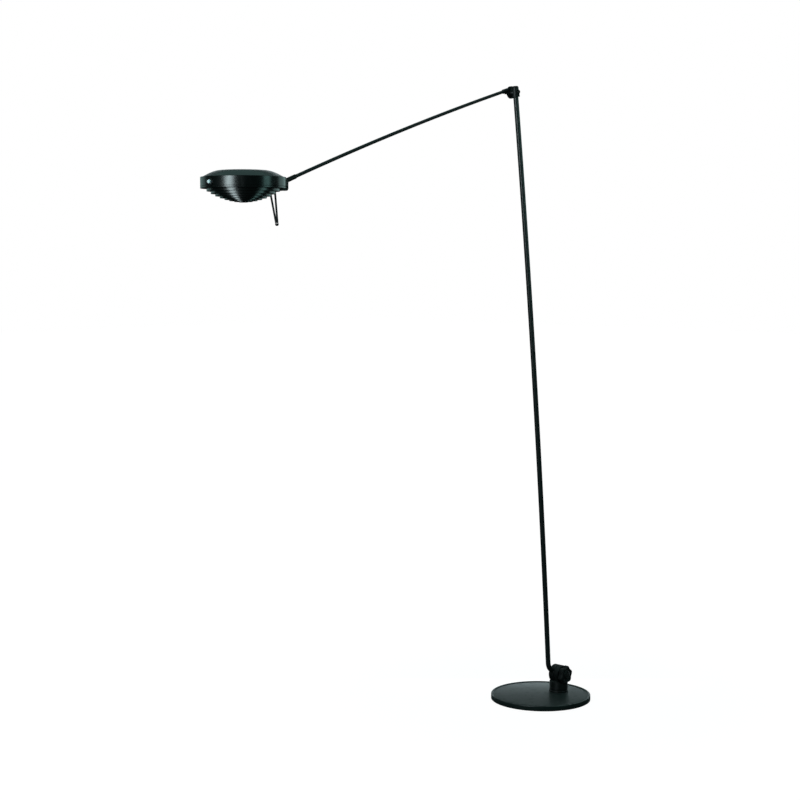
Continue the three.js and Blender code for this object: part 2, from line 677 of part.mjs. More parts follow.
add(head, 'reflector', reflector(), polishedAluminium);
add(head, 'lamp_holder_left', lampHolder(1), ceramic);
add(head, 'lamp_holder_right', lampHolder(-1), ceramic);
add(head, 'halogen_tube', lampTube(), clearGlass);
const stripTop = STRIP_LEVEL + STRIP_THICKNESS;
const stripHalf = HOLDER_Y + 5;
add(head, 'lamp_strip', box(-7, 7, -stripHalf, stripHalf, STRIP_LEVEL, stripTop), brightSteel);
add(head, 'terminal_block', box(-12, 12, -9, 9, stripTop + GAP, stripTop + 6.3), whitePlastic);

// The switch: a sprung push button straight across from the arm.

const switchFace = -HEAD_RADIUS - 2.6;
const BUTTON_RADIUS = 4.5;

function switchBody() {
  const block = box(-95.6, -84, -7, 7, -6.5, 6.5);
  const barrel = crosswise(SWITCH_BORE - GAP, switchFace, -90, 0, 0);
  return cut(join(block, barrel), crosswise(BUTTON_RADIUS + GAP, -120, -88, 0, 0));
}

add(head, 'switch_body', switchBody(), blackPlastic);
add(head, 'switch_collar', turned([
  [SWITCH_BORE, switchFace + 0.2], [8, switchFace + 0.2], [8.6, switchFace + 0.9],
  [8.6, -HEAD_RADIUS - 0.4], [SWITCH_BORE, -HEAD_RADIUS - 0.4], [SWITCH_BORE, switchFace + 0.2],
], 24, 'x'), blackSteel);
add(head, 'push_button', turned([
  [0, -105.6], [3.2, -105.4], [4.2, -104.8], [BUTTON_RADIUS, -103.8], [BUTTON_RADIUS, -92], [0, -92],
], 20, 'x'), whitePlastic);

// The bracket: a forked block screwed to the band, which carries the tilt pin.

const BRACKET_HALF = 13.5; // half its width across the fork
const pinSeat = BRACKET_HALF + GAP;

function headBracket() {
  const end = HEAD_PIVOT_X + 15;
  const low = -HEAD_HALF_HEIGHT - 2;
  const high = HEAD_HALF_HEIGHT;
  const corner = 6;
  const outline = [
    [HEAD_RADIUS - 2, low], ...arc(end - corner, low + corner, corner, -90, 0, 4),
    ...arc(end - corner, high - corner, corner, 0, 90, 4), [HEAD_RADIUS - 2, high],
  ];
  const pinBore = turned(rodOutline(PIN_BORE, -25, 25), SMALL, 'y');
  const screwHoles = BRACKET_SCREWS.map((y) => crosswise(2.3, 80, HEAD_RADIUS + 4.2, y, 1));
  return cut(
    plate(outline, -BRACKET_HALF, BRACKET_HALF),
    turned(rodOutline(HEAD_RADIUS + GAP, -20, 20), WIDE),
    box(HEAD_RADIUS + 4.5, end + 5, -4.6, 4.6, -20, 20),
    pinBore.translate(HEAD_PIVOT_X, 0, HEAD_PIVOT_Z),
    ...screwHoles,
  );
}

function bracketScrew(y) {
  return turned([
    [0, 93.2], [3, 93.2], [3, 95.3], [2, 95.3], [2, HEAD_RADIUS + 3.8], [0, HEAD_RADIUS + 3.8],
  ], 12, 'x').translate(0, y, 1);
}

add(head, 'head_bracket', headBracket(), blackPaint);
BRACKET_SCREWS.forEach((y, i) => add(head, `bracket_screw_${i + 1}`, bracketScrew(y), brightSteel));
add(head, 'head_pin', turned([
  [0, -pinSeat - 1.9], [4.2, -pinSeat - 1.9], [5, -pinSeat - 1.1], [5, -pinSeat],
  [PIN_RADIUS, -pinSeat], [PIN_RADIUS, pinSeat + 2.1], [0, pinSeat + 2.1],
], SMALL, 'y').translate(HEAD_PIVOT_X, 0, HEAD_PIVOT_Z), blackSteel);
add(head, 'head_pin_nut', cut(
  turned([
    [0, pinSeat], [5.6, pinSeat], [5.6, pinSeat + 2.7], [4, pinSeat + 4], [0, pinSeat + 4.3],
  ], 6, 'y'),
  turned(rodOutline(PIN_BORE, pinSeat - 5, pinSeat + 2.4), SMALL, 'y'),
).translate(HEAD_PIVOT_X, 0, HEAD_PIVOT_Z), blackSteel);

// The handle: two thin rods that hang from the rim and meet in a small tip.

const HANDLE_ROOT = new THREE.Vector3(90.5, 8.3, -HEAD_HALF_HEIGHT - 3.6);
const HANDLE_TIP = new THREE.Vector3(103.4, 2.4, -90);
const ROD_RADIUS = 2.4;

function handleRod(side) {
  const top = HANDLE_ROOT.clone().setY(side * HANDLE_ROOT.y);
  const foot = HANDLE_TIP.clone().setY(side * HANDLE_TIP.y);
  const rod = turned(rodOutline(ROD_RADIUS, 0, top.distanceTo(foot)), 12);
  const aim = new THREE.Quaternion().setFromUnitVectors(
    new THREE.Vector3(0, 0, -1), foot.clone().sub(top).normalize());
  return rod.translate(0, 0, -top.distanceTo(foot)).applyQuaternion(aim)
    .translate(top.x, top.y, top.z);
}

const SIDES = { left: 1, right: -1 };
for (const [name, side] of Object.entries(SIDES)) {
  add(head, `handle_ferrule_${name}`, turned([
    [0, -HEAD_HALF_HEIGHT - 2.9], [3.4, -HEAD_HALF_HEIGHT - 2.9], [4, -HEAD_HALF_HEIGHT - 2.3],
    [4, -HEAD_HALF_HEIGHT - GAP], [0, -HEAD_HALF_HEIGHT - GAP],
  ], SMALL).translate(HANDLE_ROOT.x, side * HANDLE_ROOT.y, 0), blackSteel);
  add(head, `handle_rod_${name}`, handleRod(side), blackSteel);
}
add(head, 'handle_tip', turned([
  [0, -5.8], [2.4, -5.5], [3.9, -4.2], [4.6, -2], [4.6, 0], [0, 0],
], SMALL).translate(HANDLE_TIP.x + 0.4, 0, HANDLE_TIP.z - 0.9), blackPlastic);

export default lamp;
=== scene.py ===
"""A pharmacy floor lamp. Metres, +Z up, with the origin on the floor under the base's middle.
The pieces come in the order the lamp is put together, from the pad up to the handle."""

import math

import bmesh
import bpy
import numpy as np
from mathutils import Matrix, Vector


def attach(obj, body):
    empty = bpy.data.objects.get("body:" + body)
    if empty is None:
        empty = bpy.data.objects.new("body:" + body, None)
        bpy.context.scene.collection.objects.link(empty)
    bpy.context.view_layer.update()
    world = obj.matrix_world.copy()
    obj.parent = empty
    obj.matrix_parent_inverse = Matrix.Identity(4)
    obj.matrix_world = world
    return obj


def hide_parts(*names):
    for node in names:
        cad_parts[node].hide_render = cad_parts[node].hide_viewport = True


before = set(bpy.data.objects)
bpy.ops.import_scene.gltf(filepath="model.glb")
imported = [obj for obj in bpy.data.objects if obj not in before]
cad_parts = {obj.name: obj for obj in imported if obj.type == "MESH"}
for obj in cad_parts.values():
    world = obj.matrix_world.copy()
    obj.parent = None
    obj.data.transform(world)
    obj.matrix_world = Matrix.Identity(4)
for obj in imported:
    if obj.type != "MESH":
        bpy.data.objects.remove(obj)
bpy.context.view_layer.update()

# ---------------------------------------------------------------------------------------------
# The pad: a disc of felted rubber sheet, die-cut and glued under the ballast so that the lamp
# stands quietly on a hard floor. Only its cut edge shows, as a dark line under the base.

MM = 0.001
FULL_TURN = 2 * math.pi
PAD_RADIUS = 137
PAD_THICKNESS = 1.5


def eased(outline, loop=False, steps=5):
    """A profile with rounded corners. Each corner (a, b, ease) gives way to a parabola from one
    straight side to the other, which leaves them ease from the corner, or 45% of the side where
    that is less. A long side keeps a point near each of its ends, so that it shades flat."""
    corners = np.array([corner[:2] for corner in outline], float)
    eases = [corner[2] if len(corner) > 2 else 0.25 for corner in outline]
    count = len(corners)
    s = np.linspace(0, 1, steps + 1)[:, None]
    rounded = []
    for i, corner in enumerate(corners):
        if not loop and i in (0, count - 1):
            rounded.append(corner[None])
            continue
        sides = [corners[i - 1] - corner, corners[(i + 1) % count] - corner]
        lengths = [np.hypot(*side) for side in sides]
        start, end = (corner + side / length * min(eases[i], 0.45 * length)
                      for side, length in zip(sides, lengths))
        rounded.append((1 - s) ** 2 * start + 2 * s * (1 - s) * corner + s ** 2 * end)
    points = np.concatenate(rounded)
    following = np.roll(points, -1, axis=0)
    lengths = np.hypot(*(following - points).T)
    long_side = lengths > 1.6
    if not loop:
        long_side[-1] = False
    share = np.where(long_side, 0.4 / np.maximum(lengths, 1e-9), 0)[:, None, None]
    near = points[:, None] + (following - points)[:, None] * share
    far = following[:, None] - (following - points)[:, None] * share
    filled = np.concatenate([points[:, None], near, far], axis=1)
    keep = np.stack([np.ones(len(points), bool), long_side, long_side], axis=1)
    return filled[keep]


def placed(points, centre, tip=0.0):
    """Points in millimetres turned about Y, so that +X tips up by tip degrees, and moved to centre;
    the result is in metres."""
    cosine, sine = math.cos(math.radians(tip)), math.sin(math.radians(tip))
    x, y, z = np.moveaxis(points, -1, 0)
    turned_points = np.stack([x * cosine - z * sine, y, x * sine + z * cosine], -1)
    return (turned_points + np.array(centre, float)) * MM


def skin(name, grid, loop=False):
    """A closed surface over a grid of points. Its columns wrap round. Its rows wrap round too if
    loop is true; otherwise each end row is a pole, if its points coincide, or gets a flat face."""
    rows, columns = grid.shape[:2]
    index = np.arange(rows * columns).reshape(rows, columns)
    caps = []
    if not loop:
        for end in (0, -1):
            if np.ptp(grid[end], axis=0).max() < 1e-7:
                index[end] = index[end, 0]
            else:
                caps.append(index[end] if end else index[end, ::-1])
    lower = index if loop else index[:-1]
    upper = np.roll(index, -1, axis=0) if loop else index[1:]
    quads = np.stack([lower, np.roll(lower, -1, 1), np.roll(upper, -1, 1), upper], -1).reshape(-1, 4)
    at_start = quads[:, 0] == quads[:, 1]
    at_end = quads[:, 2] == quads[:, 3]
    faces = [quads[~(at_start | at_end)], quads[at_start][:, 1:], quads[at_end][:, :3]]
    faces += [cap[None] for cap in caps]
    corners = np.concatenate([face.ravel() for face in faces])
    sizes = np.concatenate([np.full(len(face), face.shape[1]) for face in faces])
    used, corners = np.unique(corners, return_inverse=True)
    points = grid.reshape(-1, 3)[used]
    starts = np.cumsum(sizes) - sizes
    first = np.repeat(corners[starts], sizes)
    after = np.roll(corners, -1)
    after[starts + sizes - 1] = corners[starts]
    a, b, c = (points[chosen] - points.mean(0) for chosen in (first, corners, after))
    if np.einsum("ij,ij->", a, np.cross(b, c)) < 0:
        corners = np.concatenate([face[:, ::-1].ravel() for face in faces])
        corners = np.searchsorted(used, corners)
    mesh = bpy.data.meshes.new(name)
    mesh.vertices.add(len(points))
    mesh.vertices.foreach_set("co", points.astype(np.float32).ravel())
    mesh.loops.add(len(corners))
    mesh.loops.foreach_set("vertex_index", corners.astype(np.int32))
    mesh.polygons.add(len(sizes))
    mesh.polygons.foreach_set("loop_start", starts.astype(np.int32))
    mesh.polygons.foreach_set("use_smooth", np.ones(len(sizes), bool))
    mesh.update(calc_edges=True)
    mesh.validate()
    piece = bpy.data.objects.new(name, mesh)
    bpy.context.scene.collection.objects.link(piece)
    return piece


def turned(name, outline, centre=(0, 0, 0), tip=0.0, axis="z", columns=96, loop=False, swell=None):
    """A solid of revolution: at angle u round the axis, and step v along the eased profile, the
    point stands radius(v) from the axis and height(v) along it. swell, if given, changes the
    radius by a function of radius, height and angle."""
    radius, height = eased(outline, loop).T[:, :, None]
    angle = np.linspace(0, FULL_TURN, columns, endpoint=False)[None]
    if swell:
        radius = radius + swell(radius, height, angle)
    across, up = radius * np.cos(angle), radius * np.sin(angle)
    along = height + 0 * angle
    order = {"z": (across, up, along), "y": (across, along, up), "x": (along, across, up)}[axis]
    return skin(name, placed(np.stack(order, -1), centre, tip), loop)


class Signal:
    """The value of one socket in a finish. Arithmetic on it adds Math nodes."""

    def __init__(self, finish, socket):
        self.finish = finish
        self.socket = socket

    def maths(self, operation, first, second):
        return self.finish.node("ShaderNodeMath", {"operation": operation}, {0: first, 1: second})

    def __add__(self, other):
        return self.maths("ADD", self, other)

    def __sub__(self, other):
        return self.maths("SUBTRACT", self, other)

    def __rsub__(self, other):
        return self.maths("SUBTRACT", other, self)

    def __mul__(self, other):
        return self.maths("MULTIPLY", self, other)

    __radd__ = __add__
    __rmul__ = __mul__

    def between(self, low, high):
        """0 below low, 1 above high, and a smooth rise from one to the other."""
        return self.finish.node("ShaderNodeMapRange", {"interpolation_type": "SMOOTHSTEP"},
                                {"Value": self, "From Min": low, "From Max": high})


class Finish:
    """A material in the making: one Principled shader, and the nodes for what varies over it."""

    def __init__(self, name, **constants):
        self.material = bpy.data.materials.new(name)
        self.material.use_nodes = True
        self.tree = self.material.node_tree
        self.shader = self.tree.nodes["Principled BSDF"]
        for socket, value in constants.items():
            self.shader.inputs[socket.replace("_", " ")].default_value = value
        self.place = self.node("ShaderNodeTexCoord", output="Object")

    def node(self, kind, settings=None, inputs=None, output=0):
        """Adds any node: its settings first, then the values or links of its sockets."""
        node = self.tree.nodes.new(kind)
        for setting, value in (settings or {}).items():
            setattr(node, setting, value)
        for key, value in (inputs or {}).items():
            self.feed(node.inputs[key], value)
        return Signal(self, node.outputs[output])

    def feed(self, socket, value):
        if isinstance(value, Signal):
            self.tree.links.new(value.socket, socket)
        else:
            socket.default_value = value

    def noise(self, size, detail=3.0, stretch=(1, 1, 1)):
        """Cloudy noise from 0 to 1, with lumps of about size millimetres times stretch."""
        place = self.node("ShaderNodeMapping", {"vector_type": "POINT"},
                          {"Vector": self.place, "Scale": tuple(1 / s for s in stretch)})
        return self.node("ShaderNodeTexNoise", {},
                         {"Vector": place, "Scale": 1 / (size * MM), "Detail": detail})

    def facing_up(self):
        """How far the surface faces up, from 0 on a wall or an underside to 1 on a flat top."""
        normal = self.node("ShaderNodeTexCoord", output="Normal")
        height = self.node("ShaderNodeSeparateXYZ", {}, {"Vector": normal}, output="Z")
        return height.between(0.35, 0.95)

    def mix(self, share, first, second):
        return self.node("ShaderNodeMix", {"data_type": "RGBA"},
                         {0: share, 6: first, 7: second}, output=2)

    def finished(self, colour, roughness, relief=None, depth=0.1):
        """Feeds the shader. relief is a height from 0 to 1, and depth its full height in mm."""
        self.feed(self.shader.inputs["Base Color"], colour)
        self.feed(self.shader.inputs["Roughness"], roughness)
        if relief:
            bump = self.node("ShaderNodeBump", {}, {"Height": relief, "Distance": depth * MM})
            self.feed(self.shader.inputs["Normal"], bump)
        return self.material


def felted_rubber():
    finish = Finish("felted_rubber", IOR=1.4, Specular_IOR_Level=0.3)
    fibres = finish.noise(0.7, 6, (1, 1, 0.5))
    patches = finish.noise(25)
    colour = finish.mix(patches * 0.6 + fibres * 0.4, (0.008, 0.008, 0.008, 1), (0.04, 0.038, 0.036, 1))
    return finish.finished(colour, 0.8 + 0.2 * fibres, fibres, 0.3)


def fit(piece, material, body, slot, *nodes):
    """Finishes a piece: its material, the body it rides on, the CAD nodes it stands for; slot is not
    used.
    """
    piece.data.materials.clear()
    piece.data.materials.append(material)
    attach(piece, body)
    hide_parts(*nodes)


fit(
    turned("pad", [(0, 0), (PAD_RADIUS, 0, 0.4), (PAD_RADIUS, PAD_THICKNESS, 0.2), (0, PAD_THICKNESS)],
           columns=256),
    felted_rubber(), "base", "felt", "base_pad")

# ---------------------------------------------------------------------------------------------
# The ballast: a disc flame-cut from steel plate and primed grey, which keeps the lamp standing
# under its long arm. The cover hides it, so the CAD solid stays and takes a primed finish.


def paint_node(node, material):
    """Gives a CAD solid, which stays as it is, its finish."""
    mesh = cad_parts[node].data
    mesh.materials.clear()
    mesh.materials.append(material)


def primed_plate():
    finish = Finish("primed_plate", IOR=1.45)
    scale = finish.noise(6, 5)
    stain = finish.noise(35)
    colour = finish.mix(stain.between(0.4, 0.7), (0.12, 0.13, 0.13, 1), (0.17, 0.15, 0.13, 1))
    return finish.finished(colour, 0.55 + 0.3 * scale, scale, 0.2)


paint_node("base_ballast", primed_plate())

# ---------------------------------------------------------------------------------------------
# The base cover: spun from one sheet of steel, with a bead rolled round its rim and its lower
# edge hemmed. It is stoved in black enamel with a fine grain that hides dust and finger marks.

BASE_RADIUS = 140
BASE_DECK = 13
SHEET = 1.2
SWIVEL_BORE = 6.3
FOOT = (62, -16, 0)
SHARE_RADIUS = 100


def enamel(name, dark, light, gloss, grain, grain_depth, dust=0.25, index=1.5):
    """Black stoved enamel: cloudy in colour, grained, rubbed duller in places, and dusty on top."""
    finish = Finish(name, IOR=index)
    cloud = finish.noise(60, 4)
    grains = finish.noise(grain, 2)
    rub = finish.noise(14, 5, (1, 1, 2.5)).between(0.52, 0.72)
    speck = finish.noise(2.2, 4).between(0.66, 0.74)
    film = finish.facing_up() * (0.35 + cloud) * dust
    colour = finish.mix(cloud * 0.7 + grains * 0.3, dark, light)
    colour = finish.mix(film * 0.28 + speck * finish.facing_up() * dust * 0.25, colour,
                        (0.2, 0.21, 0.2, 1))
    roughness = gloss + 0.07 * rub + 0.12 * (grains - 0.5) + 0.3 * film
    return finish.finished(colour, roughness, grains, grain_depth)


deck_enamel = enamel("deck_enamel", (0.002, 0.007, 0.0065, 1), (0.008, 0.016, 0.015, 1),
                     gloss=0.33, grain=0.9, grain_depth=0.035, dust=0.25)


def base_cover_outline():
    """The sheet's two faces, joined at the rim by the bead: an arc that starts 10 degrees above
    level on the outside and rolls over to 150 degrees, with a shallow groove inside it."""
    inner, hem, bead = BASE_RADIUS - SHEET, 0.8, 2.2
    around = np.radians(np.linspace(10, 150, 12))
    rolled = [(BASE_RADIUS - bead + bead * math.cos(a), BASE_DECK - 0.4 + bead * math.sin(a), 0.1)
              for a in around]
    return [
        (SWIVEL_BORE, BASE_DECK - SHEET), (inner, BASE_DECK - SHEET, 1.4), (inner, hem),
        (BASE_RADIUS, hem, 0.4), (BASE_RADIUS, BASE_DECK - SHEET, 0.2), *rolled,
        (BASE_RADIUS - 2 * bead - 0.8, BASE_DECK - 0.6, 1.2), (BASE_RADIUS - 14, BASE_DECK, 4),
        (SWIVEL_BORE, BASE_DECK),
    ]


def base_cover():
    """The cover's profile carried round the base's axis. Each circle near the middle is moved
    towards the foot by a share that falls from 1 at the bolt's hole to 0 at 40 mm from the rim."""
    radius, height = eased(base_cover_outline(), loop=True).T[:, :, None]
    angle = np.linspace(0, FULL_TURN, 256, endpoint=False)[None]
    share = np.clip((SHARE_RADIUS - radius) / (SHARE_RADIUS - SWIVEL_BORE), 0, 1)
    x = radius * np.cos(angle) + share * FOOT[0]
    y = radius * np.sin(angle) + share * FOOT[1]
    points = np.stack([x, y, height + 0 * angle], -1)
    return skin("base_cover_shell", placed(points, (0, 0, 0)), loop=True)


fit(base_cover(), deck_enamel, "base", "textured_black_steel", "base_cover")

# ---------------------------------------------------------------------------------------------
# The foot's flange and bolt: a turned flange seats on the cover, and a hollow bolt comes up
# through it from below. A nylon washer lets the turret turn on the flange.

GAP = 0.3
FLANGE_RADIUS = 27
FLANGE_FOOT = BASE_DECK + GAP
FLANGE_TOP = 17.5
WASHER_RADIUS = 24
WASHER_FOOT = FLANGE_TOP + GAP
WASHER_TOP = FLANGE_TOP + 1.1

pillar_enamel = enamel("pillar_enamel", (0.0006, 0.0015, 0.0014, 1), (0.0018, 0.004, 0.0038, 1),
                       gloss=0.44, grain=0.7, grain_depth=0.03, dust=0.15, index=1.4)


def moulded_black():
    finish = Finish("moulded_black", IOR=1.46, Specular_IOR_Level=0.4)
    spark = finish.noise(0.45, 2)
    cloud = finish.noise(18, 4)
    worn = finish.noise(7, 5).between(0.55, 0.75)
    colour = finish.mix(cloud, (0.001, 0.002, 0.002, 1), (0.004, 0.006, 0.006, 1))
    return finish.finished(colour, 0.52 + 0.16 * (spark - 0.5) - 0.12 * worn, spark, 0.05)


def zinc_steel():
    finish = Finish("zinc_steel", Metallic=1.0)
    turning = finish.noise(0.5, 3, (6, 1, 6))
    stain = finish.noise(5, 4)
    colour = finish.mix(stain, (0.42, 0.43, 0.42, 1), (0.62, 0.62, 0.58, 1))
    return finish.finished(colour, 0.26 + 0.22 * turning, turning, 0.02)


black_plastic = moulded_black()
plated_steel = zinc_steel()

fit(
    turned("flange", [
        (SWIVEL_BORE, FLANGE_FOOT), (FLANGE_RADIUS, FLANGE_FOOT, 0.3),
        (FLANGE_RADIUS, FLANGE_TOP, 1.6), (SWIVEL_BORE, FLANGE_TOP)], FOOT, loop=True, columns=128),
    pillar_enamel, "base", "black_steel", "foot_flange")
fit(
    turned("swivel_washer_disc", [
        (SWIVEL_BORE, WASHER_FOOT), (WASHER_RADIUS, WASHER_FOOT, 0.2),
        (WASHER_RADIUS, WASHER_TOP, 0.2), (SWIVEL_BORE, WASHER_TOP)], FOOT, loop=True),
    black_plastic, "base", "black_plastic", "swivel_washer")
paint_node("swivel_bolt", plated_steel)

# ---------------------------------------------------------------------------------------------
# The turret: a die-cast pillar and the fixed half of the clamp's drum, cast in one and enamelled.
# A rubber gland lines the cord's hole in its side, and a rubber disc between the drum's halves
# holds the stem's tilt.

DRUM_HEIGHT = 63
CLAMP = (FOOT[0], FOOT[1], DRUM_HEIGHT)
STUD_BORE = 5.3
FRICTION_NEAR = -1.8
FRICTION_FAR = -1.1
GLAND_HEIGHT = 27
GLAND_BORE = 2.8
GLAND_LIP = 26.4


def softened(name, node, edge):
    """The CAD solid welded into one mesh, with its flat faces made whole and its edges rounded."""
    shape = bmesh.new()
    shape.from_mesh(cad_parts[node].data)
    bmesh.ops.remove_doubles(shape, verts=shape.verts, dist=2e-6)
    bmesh.ops.dissolve_limit(shape, angle_limit=math.radians(0.6), verts=shape.verts, edges=shape.edges)
    mesh = bpy.data.meshes.new(name)
    shape.to_mesh(mesh)
    shape.free()
    mesh.polygons.foreach_set("use_smooth", np.ones(len(mesh.polygons), bool))
    mesh.set_sharp_from_angle(angle=math.radians(34))
    piece = bpy.data.objects.new(name, mesh)
    bpy.context.scene.collection.objects.link(piece)
    rounding = piece.modifiers.new("rounding", "BEVEL")
    rounding.width = edge * MM
    rounding.segments = 3
    rounding.limit_method = "ANGLE"
    rounding.angle_limit = math.radians(34)
    rounding.harden_normals = True
    return piece


def soft_rubber():
    finish = Finish("soft_rubber", IOR=1.45, Specular_IOR_Level=0.3)
    bloom = finish.noise(3, 4)
    colour = finish.mix(bloom, (0.008, 0.008, 0.008, 1), (0.03, 0.03, 0.029, 1))
    return finish.finished(colour, 0.7 + 0.2 * bloom, bloom, 0.05)


rubber = soft_rubber()
fit(softened("turret_casting", "turret", 0.5), pillar_enamel, "turret", "black_aluminium", "turret")
fit(
    turned("gland", [
        (GLAND_BORE, 15), (4.3, 15), (4.3, GLAND_LIP), (6.5, GLAND_LIP, 0.4),
        (6.5, GLAND_LIP + 2, 0.6), (5.2, GLAND_LIP + 3, 0.5), (GLAND_BORE, GLAND_LIP + 3, 0.4)],
        (FOOT[0], FOOT[1], GLAND_HEIGHT), axis="x", loop=True),
    rubber, "turret", "rubber", "cord_gland")
fit(
    turned("friction_disc", [
        (STUD_BORE, FRICTION_NEAR), (WASHER_RADIUS, FRICTION_NEAR),
        (WASHER_RADIUS, FRICTION_FAR), (STUD_BORE, FRICTION_FAR)], CLAMP, axis="y", loop=True),
    rubber, "turret", "rubber", "friction_washer")

# ---------------------------------------------------------------------------------------------
# The clamp knob: moulded in black plastic round the stud that draws the drum's halves together.
# Six lobes give it grip, with fine flutes on its edge and a dished face that a cap closes.

KNOB_BACK = -15.5
KNOB_FACE = -30
KNOB_RADIUS = 24
KNOB_LOBES = 6
KNOB_FLUTES = 48


def knob_swell(radius, height, angle):
    """Six lobes, deeper towards the edge, and forty-eight flutes on the edge itself."""
    outward = np.clip((radius - 12) / 12, 0, 1)
    lobes = 2.2 * np.cos(KNOB_LOBES * (angle - math.radians(15))) * outward ** 1.5
    edge = np.clip((radius - 22) / 1.6, 0, 1)
    return lobes + 0.35 * np.cos(KNOB_FLUTES * angle) * edge


def clamp_knob():
    """From the stud's hole out over a raised back, round the edge, and in over a dished face."""
    outline = [
        (STUD_BORE, KNOB_BACK), (19, KNOB_BACK, 0.5), (20.5, KNOB_BACK - 1.2, 0.6),
        (KNOB_RADIUS, KNOB_BACK - 2.2, 1), (KNOB_RADIUS, KNOB_FACE + 1.8, 2),
        (21.6, KNOB_FACE, 1.2), (18.6, KNOB_FACE, 0.5), (17.4, KNOB_FACE + 1, 0.5),
        (13.2, KNOB_FACE + 1, 0.5), (12.2, KNOB_FACE, 0.4), (STUD_BORE, KNOB_FACE),
    ]
    return turned("knob", outline, CLAMP, axis="y", columns=384, loop=True, swell=knob_swell)


fit(clamp_knob(), black_plastic, "knob", "black_plastic", "clamp_knob")
fit(
    turned("knob_plug", [
        (0, KNOB_FACE - 1.9), (8, KNOB_FACE - 1.7, 2), (10.5, KNOB_FACE - 1, 0.8),
        (11, KNOB_FACE - GAP, 0.2), (0, KNOB_FACE - GAP)], CLAMP, axis="y"),
    black_plastic, "knob", "black_plastic", "knob_cap")
paint_node("clamp_stud", plated_steel)

# ---------------------------------------------------------------------------------------------
# The stem's hub: the half of the drum that turns with the stem, die-cast, with the stem's tube
# set into a socket in its side. A domed cap covers the nut on its far face.

TILT = (FOOT[0], FOOT[1] + 8, DRUM_HEIGHT)
DRUM_RADIUS = 25.5
HUB_HALF = 8.8

fit(softened("hub_casting", "stem_hub", 0.45), pillar_enamel, "stem", "black_aluminium", "stem_hub")
fit(
    turned("hub_dome", [(0, HUB_HALF + GAP), (15, HUB_HALF + GAP, 0.2), (15, HUB_HALF + 1.3, 0.5),
                        (13.5, HUB_HALF + 2, 0.6), (0, HUB_HALF + 2.4)], TILT, axis="y"),
    black_plastic, "stem", "black_plastic", "hub_cap")

# ---------------------------------------------------------------------------------------------
# The stem: one long steel tube, bent where it leaves the hub and bowed a little by its load,
# enamelled in a satin black that hands have rubbed duller in places.

STEM_RADIUS = 7
STEM_WALL = 1.5
STEM_SOCKET = 12
STEM_ROOT_RISE = 29
STEM_BEND_RADIUS = 30
STEM_LEAN_LOW = 4.2
STEM_LEAN_HIGH = 7.4
STEM_LENGTH = 1589

tube_enamel = enamel("tube_enamel", (0.002, 0.005, 0.0046, 1), (0.006, 0.012, 0.011, 1),
                     gloss=0.34, grain=1.1, grain_depth=0.02, dust=0.15)


def bent_line(start, heading, stretches):
    """Points and headings along a line in the XZ plane. Each stretch (length, turn, steps) turns
    evenly; a step goes along the mean of its two end headings."""
    turns = np.concatenate([np.full(steps, turn / steps) for _, turn, steps in stretches])
    lengths = np.concatenate([np.full(steps, length / steps) for length, _, steps in stretches])
    headings = np.radians(heading + np.concatenate([[0], np.cumsum(turns)]))
    middle = (headings[1:] + headings[:-1]) / 2
    moves = np.stack([lengths * np.cos(middle), 0 * middle, lengths * np.sin(middle)], -1)
    points = np.array(start, float) + np.concatenate([np.zeros((1, 3)), np.cumsum(moves, axis=0)])
    return points, headings


def drawn_tube(name, line, radius, wall, columns=48):
    """A circle carried along a line: out along it at the outer radius, and back at the inner."""
    points, headings = line
    angle = np.linspace(0, FULL_TURN, columns, endpoint=False)[None, :, None]
    upward = np.stack([-np.sin(headings), 0 * headings, np.cos(headings)], -1)[:, None]
    sideways = np.array([0, 1, 0])
    round_line = np.cos(angle) * upward + np.sin(angle) * sideways
    outside = points[:, None] + radius * round_line
    inside = points[:, None] + (radius - wall) * round_line
    return skin(name, np.concatenate([outside, inside[::-1]]) * MM, loop=True)


def stem_line():
    """Straight out of the hub's socket, round an even bend up to the low lean, and on in one long
    even bow to the high lean."""
    heading = 180 - STEM_ROOT_RISE
    turn = 90 + STEM_LEAN_LOW - heading
    direction = np.array([math.cos(math.radians(heading)), 0, math.sin(math.radians(heading))])
    return bent_line(np.array(TILT) + STEM_SOCKET * direction, heading, [
        (DRUM_RADIUS + 1.2 - STEM_SOCKET, 0, 4),
        (STEM_BEND_RADIUS * abs(math.radians(turn)), turn, 40),
        (STEM_LENGTH, STEM_LEAN_HIGH - STEM_LEAN_LOW, 120),
    ])


fit(drawn_tube("stem", stem_line(), STEM_RADIUS, STEM_WALL, 64), tube_enamel, "stem", "black_steel",
    "stem_tube")

# ---------------------------------------------------------------------------------------------
# The elbow: a die-cast bell pressed over the stem's end, with a boss on each side for the bolt.
# The arm's disc turns against the far boss on a nylon washer, under a cap nut.

stem_end = stem_line()[0][-1]
ELBOW_TIP = STEM_LEAN_HIGH
ELBOW_RISE = 5
lean = math.radians(ELBOW_TIP)
ELBOW = stem_end + ELBOW_RISE * np.array([-math.sin(lean), 0, math.cos(lean)])
PIN_RADIUS = 3
PIN_BORE = PIN_RADIUS + GAP
NYLON_NEAR = 11.1
NYLON_FAR = 11.7
BOLT_SEAT = -10.6
BOLT_END = 23.5

